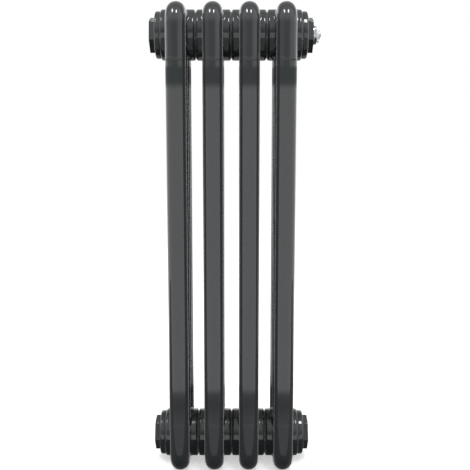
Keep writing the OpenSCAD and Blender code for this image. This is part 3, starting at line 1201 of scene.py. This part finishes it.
@dataclass
class AirVent:
    """The manual air vent: a chromed body, a white outlet ring and the brass bleed screw.

    Attributes:
        hexagon: The body's wrench part.
        hex_root: The rounding where it meets the flange.
        hex_gap: The gap between it and the outlet ring.
        hex_inset: How far it stays inside the flange's rounded rim.
        flange_t: How thick the body's flange is.
        flange_edge_r: The rounding of the flange's rim.
        shank_t: How far the shank reaches into the bush.
        shank_r: The radius of the shank.
        shank_wall: The wall of the shank.
        nose_r: The radius of the nose that the ring turns on.
        nose_edge: The chamfer of the nose's rim.
        clip_groove: How deep the retaining clip's groove is.
        bore_r: The radius of the screw's bore.
        seat_hole_r: The radius of the hole in the valve seat.
        seat_t: How thick the seat is.
        seat_gap: How far the seal pad stands off the seat.
        seal_groove: The inner and outer radius and the depth of the groove for the flange's O-ring.
        ring_t: How thick the outlet ring is.
        ring_rim_t: How wide its ribbed rim is.
        ring_edge: The rounding of its edges.
        cone_inset: How far its cone starts inside the rim.
        ring_face_r: The radius of its end face.
        ring_bore_r: The radius of its bore.
        ring_groove: The width and depth of the water groove in its bore.
        ring_ribs: How many ribs its rim has.
        rib_h: How high a rib is.
        rib_fill: How full a rib is: below 1 it has a broad crest.
        rib_points: The points around the ring for each rib.
        spout_r: The radius of the spout.
        spout_bore_r: The radius of its bore.
        spout_lip: The rounding of its lip.
        spout_reach: How far its lip is from the vent's axis.
        spout_turn: How far it leans to the front from straight down, in degrees.
        spout_points: The points around it.
        screw_r: The radius of the bleed screw.
        screw_edge: The chamfer of its edges.
        screw_groove: How deep the groove for its O-ring is.
        key_side: The side of its square key.
        key_cut: How far the key's corners are cut back.
        key_t: How long the key is.
        key_steps: The angles from one corner of the key to the next at which it is meshed, in degrees.
    """

    hexagon: Hexagon = Hexagon(21 * MM, 19.0, corner_cut=0.25 * MM, chamfer=0.8 * MM)
    hex_root: float = 0.15 * MM
    hex_gap: float = 0.1 * MM
    hex_inset: float = 0.0045 * MM
    flange_t: float = 1.8 * MM
    flange_edge_r: float = 0.45 * MM
    shank_t: float = 9 * MM
    shank_r: float = 9.265 * MM
    shank_wall: float = 3 * MM
    nose_r: float = 4.8 * MM
    nose_edge: float = 0.25 * MM
    clip_groove: float = 0.5 * MM
    bore_r: float = 2.56 * MM
    seat_hole_r: float = 1 * MM
    seat_t: float = 1.5 * MM
    seat_gap: float = 0.1 * MM
    seal_groove: Triple = (9.95 * MM, 11.8 * MM, 1.2 * MM)
    ring_t: float = 3.4 * MM
    ring_rim_t: float = 1.4 * MM
    ring_edge: float = 0.3 * MM
    cone_inset: float = 0.66 * MM
    ring_face_r: float = 6.3 * MM
    ring_bore_r: float = 4.86 * MM
    ring_groove: float = 1.2 * MM
    ring_ribs: int = 30
    rib_h: float = 0.35 * MM
    rib_fill: float = 0.6
    rib_points: int = 6
    spout_r: float = 1.6 * MM
    spout_bore_r: float = 0.9 * MM
    spout_lip: float = 0.2 * MM
    spout_reach: float = 10.4 * MM
    spout_turn: float = 30.0
    spout_points: int = 36
    screw_r: float = 2.5 * MM
    screw_edge: float = 0.2 * MM
    screw_groove: float = 1 * MM
    key_side: float = 3.2 * MM
    key_cut: float = 0.15 * MM
    key_t: float = 1.5 * MM
    key_steps: tuple[float, ...] = (0, 6, 15, 25, 35, 45, 55, 65, 75, 84)

    def __post_init__(self) -> None:
        """Reads the vent's places from the frame."""
        low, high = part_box("vent_body")
        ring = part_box("vent_outlet_ring")
        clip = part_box("vent_retaining_clip")
        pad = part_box("bleed_seal_pad")
        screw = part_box("bleed_screw")
        self.face = low.x + self.shank_t
        self.axis_z = (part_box("vent_bush")[0].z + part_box("vent_bush")[1].z) / 2
        self.body_r = (high.y - low.y) / 2
        self.end = high.x - self.face
        self.ring_0 = ring[0].x - self.face
        self.ring_1 = self.ring_0 + self.ring_t
        self.clip = (clip[0].x - self.face, clip[1].x - self.face)
        self.seat = pad[0].x - self.face - self.seat_gap
        self.screw_0 = screw[0].x - self.face
        self.screw_1 = screw[1].x - self.face - self.key_t

    def finish_piece(self, name: str, shape: Surface, finish: Finish, body: str, node: str) -> None:
        """Moves a surface from the vent's own axis to its place and shows it.

        Args:
            name: The piece's name.
            shape: Its points and faces, along the vent's axis from the bush's face.
            finish: Its finish.
            body: The body that it rides on.
            node: The CAD node that it stands for.
        """
        points, faces = shape
        mesh = make_mesh(name, points + (self.face, 0, self.axis_z), faces)
        place_piece(mesh, name, finish, body, node)

    def body_surface(self) -> Surface:
        """The body: shank, flange with its seal groove, hexagon, nose, and the bore down to the valve seat.

        Returns:
            The points and faces.
        """
        hexagon = self.hexagon.radius()
        hex_end = self.ring_0 - self.hex_gap
        hex_root = self.flange_t + self.hex_root
        edge = self.nose_edge
        rim_r = self.body_r - self.flange_edge_r
        seal_in, seal_out, seal_t = self.seal_groove
        rings = [Ring(-self.shank_t, self.shank_r - edge), Ring(edge - self.shank_t, self.shank_r)]
        rings += [Ring(0, self.shank_r), Ring(0, seal_in - edge)]
        rings += [Ring(seal_t, seal_in), Ring(seal_t, seal_out), Ring(0, seal_out)]
        rings += [Ring(0, self.body_r - self.flange_edge_r / 2), Ring(self.flange_edge_r / 2, self.body_r)]
        rings += round_edge(self.flange_t, self.body_r, self.flange_edge_r)
        rings.append(Ring(self.flange_t, np.minimum(hexagon + self.hex_root, rim_r - self.hex_inset)))
        rings.append(Ring(hex_root, np.minimum(hexagon, rim_r - 2 * self.hex_inset)))
        rings += self.hexagon.end(hex_end, edge, count=7)
        rings.append(Ring(hex_end, self.nose_r))
        rings += [Ring(self.clip[0], self.nose_r), Ring(self.clip[0], self.nose_r - self.clip_groove)]
        rings += [Ring(self.clip[1], self.nose_r - self.clip_groove), Ring(self.clip[1], self.nose_r)]
        rings += [Ring(self.end - edge, self.nose_r), Ring(self.end, self.nose_r - edge)]
        rings += [Ring(self.end, self.bore_r + edge / 2), Ring(self.end - edge / 2, self.bore_r)]
        rings += [Ring(self.seat, self.bore_r), Ring(self.seat, self.seat_hole_r)]
        hollow_r = self.shank_r - self.shank_wall
        rings += [Ring(self.seat - self.seat_t, self.seat_hole_r), Ring(self.seat - self.seat_t, hollow_r)]
        rings += [Ring(-self.shank_t, hollow_r)]
        return turned_surface(rings, self.hexagon.angles(), cyclic=True)

    def ring_surface(self) -> Surface:
        """The outlet ring: a ribbed rim, a cone, the bore with its water groove, and the spout.

        Returns:
            The points and faces.
        """
        angles = even_angles(self.ring_ribs * self.rib_points)
        low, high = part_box("vent_outlet_ring")
        rim_r = (high.y - low.y) / 2
        rib = self.rib_h * (0.5 + 0.5 * np.cos(angles * self.ring_ribs)) ** self.rib_fill
        ribbed_r = rim_r - self.rib_h + rib
        edge = self.ring_edge
        rim_1 = self.ring_0 + self.ring_rim_t
        middle = (self.ring_0 + self.ring_1) / 2
        rings = [Ring(self.ring_0, rim_r - 2 * edge), Ring(self.ring_0 + edge / 3, rim_r - edge - rib)]
        rings += [Ring(self.ring_0 + edge, ribbed_r), Ring(rim_1 - edge, ribbed_r)]
        rings += [Ring(rim_1, rim_r - edge - self.rib_h / 2), Ring(rim_1 + edge, rim_r - self.cone_inset)]
        rings += round_edge(self.ring_1, self.ring_face_r, edge)
        bore_r = self.ring_bore_r
        rings += [Ring(self.ring_1, bore_r + edge / 2), Ring(self.ring_1 - edge / 2, bore_r)]
        groove_r = bore_r + self.ring_groove
        for way, r in ((1, bore_r), (1, groove_r), (-1, groove_r), (-1, bore_r)):
            rings.append(Ring(middle + way * self.ring_groove / 2, r))
        rings.append(Ring(self.ring_0, bore_r))
        points, faces = turned_surface(rings, angles, cyclic=True)
        spout_points, spout_faces = self.spout_surface(middle)
        faces = faces + [tuple(i + len(points) for i in f) for f in spout_faces]
        return np.concatenate([points, spout_points]), faces

    def spout_surface(self, middle: float) -> Surface:
        """The spout: a short pipe with a rounded lip, which leans towards the front from straight down.

        Args:
            middle: Where its axis crosses the vent's axis.

        Returns:
            The points and faces.
        """
        start = self.ring_bore_r + self.ring_groove
        lip = self.spout_lip
        rings = [Ring(start, self.spout_r), Ring(self.spout_reach - lip, self.spout_r)]
        rings += [Ring(self.spout_reach, self.spout_r - lip), Ring(self.spout_reach, self.spout_bore_r + lip)]
        rings += [Ring(self.spout_reach - lip, self.spout_bore_r), Ring(start, self.spout_bore_r)]
        points, faces = turned_surface(rings, even_angles(self.spout_points), cyclic=True)
        lean = math.radians(self.spout_turn)
        along = (0, -math.sin(lean), -math.cos(lean))
        across = (0, -math.cos(lean), math.sin(lean))
        return points @ np.array([along, (1, 0, 0), across]) + (middle, 0, 0), faces

    def screw_surface(self) -> Surface:
        """The bleed screw: tip, neck, seal groove, rounded end and the square key.

        Returns:
            The points and faces.
        """
        angles = polygon_angles(4, 0, self.key_steps)
        corner_r = self.key_side / math.sqrt(2)
        square = polygon_radius(angles, self.key_side, 4, 0, corner_r - self.key_cut)
        edge = self.screw_edge
        low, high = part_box("bleed_screw_o_ring")
        groove = (low.x - self.face, high.x - self.face)
        groove_r = self.screw_r - self.screw_groove
        tip = [Ring(self.screw_0, self.screw_r - edge), Ring(self.screw_0 + edge, self.screw_r)]
        seal = [Ring(groove[0], self.screw_r), Ring(groove[0], groove_r), Ring(groove[1], groove_r)]
        end = [Ring(groove[1], self.screw_r), Ring(self.screw_1 - edge, self.screw_r)]
        end += [Ring(self.screw_1, self.screw_r - edge), Ring(self.screw_1, square)]
        key = [Ring(self.screw_1 + self.key_t - edge, square), Ring(self.screw_1 + self.key_t, square - edge)]
        return turned_surface(tip + seal + end + key, angles, cyclic=False)

    def build(self) -> None:
        """Builds the vent's shown pieces and dresses its small ones."""
        self.finish_piece("vent_chromed_body", self.body_surface(), CHROME, "radiator", "vent_body")
        ring = self.ring_surface()
        self.finish_piece("vent_ribbed_ring", ring, WHITE_PLASTIC, "outlet_ring", "vent_outlet_ring")
        self.finish_piece("vent_bleed_screw", self.screw_surface(), BRASS, "bleed_screw", "bleed_screw")
        dress_node("vent_retaining_clip", SPRING_STEEL)
        for node in ("vent_o_ring", "bleed_screw_o_ring", "bleed_seal_pad"):
            dress_node(node, SEAL_RUBBER)


# ---------------------------------------------------------------- joints between sections


@dataclass
class SectionJoints:
    """The nipples and gaskets that join the sections and seal the fittings.

    Attributes:
        joints: How many joints there are along a row of hubs.
    """

    joints: int = 3

    def build(self) -> None:
        """Dresses the nipples and gaskets."""
        for level in ("top", "bottom"):
            for joint in range(1, self.joints + 1):
                dress_node(f"{level}_nipple_{joint}", NIPPLE_STEEL)
                dress_node(f"{level}_gasket_{joint}", RUBBER)
            for side in ("left", "right"):
                dress_node(f"{level}_{side}_end_gasket", RUBBER)


# ---------------------------------------------------------------- studio


@dataclass(frozen=True)
class Softbox:
    """A rectangular light.

    Attributes:
        title: The light's name.
        place: Where it hangs.
        size: Its width and height.
        power: Its power in watts.
        mirrored: Whether it shows in reflections.
    """

    title: str
    place: Triple
    size: Pair
    power: float
    mirrored: bool


@dataclass
class Studio:
    """A pale floor, a dark sheet that paints shade into the gloss under the object, a banded surround, three
    softboxes and the camera.

    In the surround, a direction is given by its share along an axis, from -1 to 1.

    Attributes:
        eye: Where the camera is.
        down: How far it looks down, in radians.
        sensor_w: The width of its sensor, in millimetres.
        lens: Its focal length, in millimetres.
        shift: The lens shift, as shares of the width.
        floor_r: The floor's radius.
        floor_points: The points around its rim.
        floor_rough: Its roughness.
        floor_tones: Its darkest and lightest grey.
        floor_span: The part of the grain's range that the grey follows.
        floor_glow: How strongly it glows, which keeps it near white.
        shade_sheet_w: The width of the dark sheet under the object, which paints shade into its gloss.
        shade_sheet_ys: Its front and back edge.
        shade_sheet_grey: Its grey.
        shade_sheet_glow: How strongly it glows.
        bands: The surround's brightness, each with the height of its direction.
        light_zs: The heights over which the light from behind and from the sides sets in.
        back_light: The brightness behind the object, low down and high up.
        back_zs: The heights between which it changes.
        back_ys: The depths over which it sets in.
        side_light: How much white is added at the far left and the far right.
        left_xs: The directions over which it falls off from the far left.
        right_xs: The directions over which it grows towards the far right.
        softboxes: The lights.
    """

    eye: Triple = (0.0, -1.00437, 0.42699)
    down: float = 0.145
    sensor_w: float = 36.0
    lens: float = 58.31
    shift: Pair = (-0.0012, 0.0438)
    floor_r: float = 9.0
    floor_points: int = 96
    floor_rough: float = 0.9
    floor_tones: Pair = (0.88, 0.92)
    floor_span: Pair = (0.3, 0.7)
    floor_glow: float = 0.5
    shade_sheet_w: float = 3.0
    shade_sheet_ys: Pair = (-0.13, 0.3)
    shade_sheet_grey: float = 0.01
    shade_sheet_glow: float = 0.02
    bands: tuple[Pair, ...] = (
        (-1.0, 0.35),
        (-0.346, 0.35),
        (-0.341, 0.2),
        (-0.321, 0.2),
        (-0.316, 1.0),
        (0.0745, 1.0),
        (0.0775, 0.26),
        (0.096, 0.26),
        (0.1, 0.3),
        (0.25, 0.32),
        (0.6, 0.75),
        (0.9, 0.7),
        (1.0, 0.45),
    )
    light_zs: Pair = (0.096, 0.1)
    back_light: Pair = (1.0, 0.2)
    back_zs: Pair = (0.3, 0.5)
    back_ys: Pair = (-0.05, 0.3)
    side_light: Pair = (0.25, 0.75)
    left_xs: Pair = (-0.9, -0.3)
    right_xs: Pair = (0.25, 0.8)
    softboxes: tuple[Softbox, ...] = (
        Softbox("left_softbox", (-1.164, -0.87, 3.2), (0.5, 0.85), 19.0, True),
        Softbox("right_softbox", (0.615, -1.227, 3.24), (0.52, 0.85), 20.0, True),
        Softbox("overhead_softbox", (0.0, -0.6, 3.0), (3.2, 3.2), 40.0, False),
    )

    def camera(self) -> None:
        """Stands the camera."""
        data = bpy.data.cameras.new("camera")
        data.sensor_width = self.sensor_w
        data.lens = self.lens
        data.shift_x, data.shift_y = self.shift
        data.clip_start = 10 * MM
        camera = link_object("camera", data)
        camera.location = self.eye
        camera.rotation_euler = (math.pi / 2 - self.down, 0, 0)
        bpy.context.scene.camera = camera

    def glowing(
        self, mesh: bpy.types.Mesh, title: str, rough: float, glow: float
    ) -> tuple[bpy.types.Object, Nodes, Socket]:
        """Stages a mesh that glows white a little and throws no bounced light on the object.

        Args:
            mesh: The mesh.
            title: The name of its material.
            rough: Its roughness.
            glow: How strongly it glows.

        Returns:
            The staged object, its material's nodes and the socket for its colour.
        """
        material = bpy.data.materials.new(title)
        material.use_nodes = True
        shader = material.node_tree.nodes["Principled BSDF"]
        shader.inputs["Roughness"].default_value = rough
        shader.inputs["Emission Color"].default_value = WHITE
        shader.inputs["Emission Strength"].default_value = glow
        mesh.materials.append(material)
        staged = link_object(mesh.name, mesh)
        staged.visible_diffuse = False
        staged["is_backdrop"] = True
        return staged, Nodes(material.node_tree), shader.inputs["Base Color"]

    def floor(self) -> None:
        """Lays the floor, which gloss doesn't mirror."""
        angles = even_angles(self.floor_points)
        rim = np.stack([self.floor_r * np.cos(angles), self.floor_r * np.sin(angles), 0 * angles], axis=1)
        mesh = make_mesh("floor", rim, [range(self.floor_points)])
        floor, nodes, colour = self.glowing(mesh, "pale_floor", self.floor_rough, self.floor_glow)
        floor.visible_glossy = False
        speck = nodes.spread(GRAIN.place(nodes, coarse=3.0, fine=120.0), self.floor_span)
        dark, light = ((tone, tone, tone, 1) for tone in self.floor_tones)
        nodes.put(colour, nodes.mix(speck, dark, light))

    def shade_sheet(self) -> None:
        """Lays a dark sheet under the object that paints shade into its gloss; the camera doesn't see it and
        it throws no shadow.
        """
        half = self.shade_sheet_w / 2
        front, back = self.shade_sheet_ys
        corners = [(-half, front, MM), (half, front, MM), (half, back, MM), (-half, back, MM)]
        # Painted shade: this dark, faintly glowing sheet stands for the shade under the radiator in its
        # reflections.
        mesh = make_mesh("painted_shade_sheet_1", np.array(corners), [(0, 1, 2, 3)])
        shade_sheet, nodes, colour = self.glowing(mesh, "painted_shade_sheet_1", 1.0, self.shade_sheet_glow)
        shade_sheet.visible_camera = False
        shade_sheet.visible_shadow = False
        nodes.put(colour, (self.shade_sheet_grey, self.shade_sheet_grey, self.shade_sheet_grey, 1))

    def surround(self) -> None:
        """Makes the surround: bands of brightness by height, with more light from behind and the sides."""
        world = bpy.data.worlds.new("surround")
        world.use_nodes = True
        bpy.context.scene.world = world
        nodes = Nodes(world.node_tree)
        background = world.node_tree.nodes["Background"]
        split = nodes.add("SeparateXYZ")
        nodes.put(split.inputs[0], nodes.add("TexCoord").outputs["Generated"])
        ramp = nodes.add("ValToRGB")
        elements = ramp.color_ramp.elements
        while len(elements) < len(self.bands):
            elements.new(1.0)
        for element, (height, level) in zip(elements, self.bands):
            element.position = (height + 1) / 2
            element.color = (level, level, level, 1)
        nodes.put(ramp.inputs[0], nodes.math("MULTIPLY_ADD", split.outputs["Z"], 0.5, 0.5))
        left, right = self.side_light
        from_left = nodes.spread(split.outputs["X"], self.left_xs, left, 0.0)
        from_right = nodes.spread(split.outputs["X"], self.right_xs, 0.0, right)
        above = nodes.spread(split.outputs["Z"], self.light_zs)
        sides = nodes.math("MULTIPLY", nodes.math("ADD", from_right, from_left), above)
        front = nodes.mix(sides, ramp.outputs["Color"], WHITE)
        back = nodes.spread(split.outputs["Z"], self.back_zs, *self.back_light)
        behind = nodes.math("MULTIPLY", nodes.spread(split.outputs["Y"], self.back_ys), above)
        lit = nodes.mix(behind, front, back)
        seen = nodes.add("LightPath").outputs["Is Camera Ray"]
        nodes.put(background.inputs["Color"], nodes.mix(seen, lit, WHITE))

    def lights(self) -> None:
        """Hangs the softboxes, each turned to the object with its width across the front."""
        low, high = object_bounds()
        target = (low + high) / 2
        for box in self.softboxes:
            data = bpy.data.lights.new(box.title, "AREA")
            data.shape = "RECTANGLE"
            data.size, data.size_y = box.size
            data.energy = box.power
            light = link_object(box.title, data)
            light.location = box.place
            away = (Vector(box.place) - target).normalized()
            side = (Vector((1, 0, 0)) - away * away.x).normalized()
            light.rotation_euler = Matrix((side, away.cross(side), away)).transposed().to_euler()
            light.visible_glossy = box.mirrored
            light.visible_camera = False

    def build(self) -> None:
        """Sets the stage."""
        bpy.context.scene.view_settings.view_transform = "Standard"
        self.camera()
        self.floor()
        self.shade_sheet()
        self.surround()
        self.lights()


# ---------------------------------------------------------------- whole object


def main() -> None:
    """Builds the stage and every sub-assembly in order."""
    logging.basicConfig(level=logging.INFO, format="%(message)s")
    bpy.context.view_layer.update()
    for part in (Studio(), SectionHeads(), ColumnTubes(), SectionJoints(), *FITTINGS, AirVent()):
        part.build()
    bpy.context.view_layer.update()


if __name__ == "__main__":
    main()
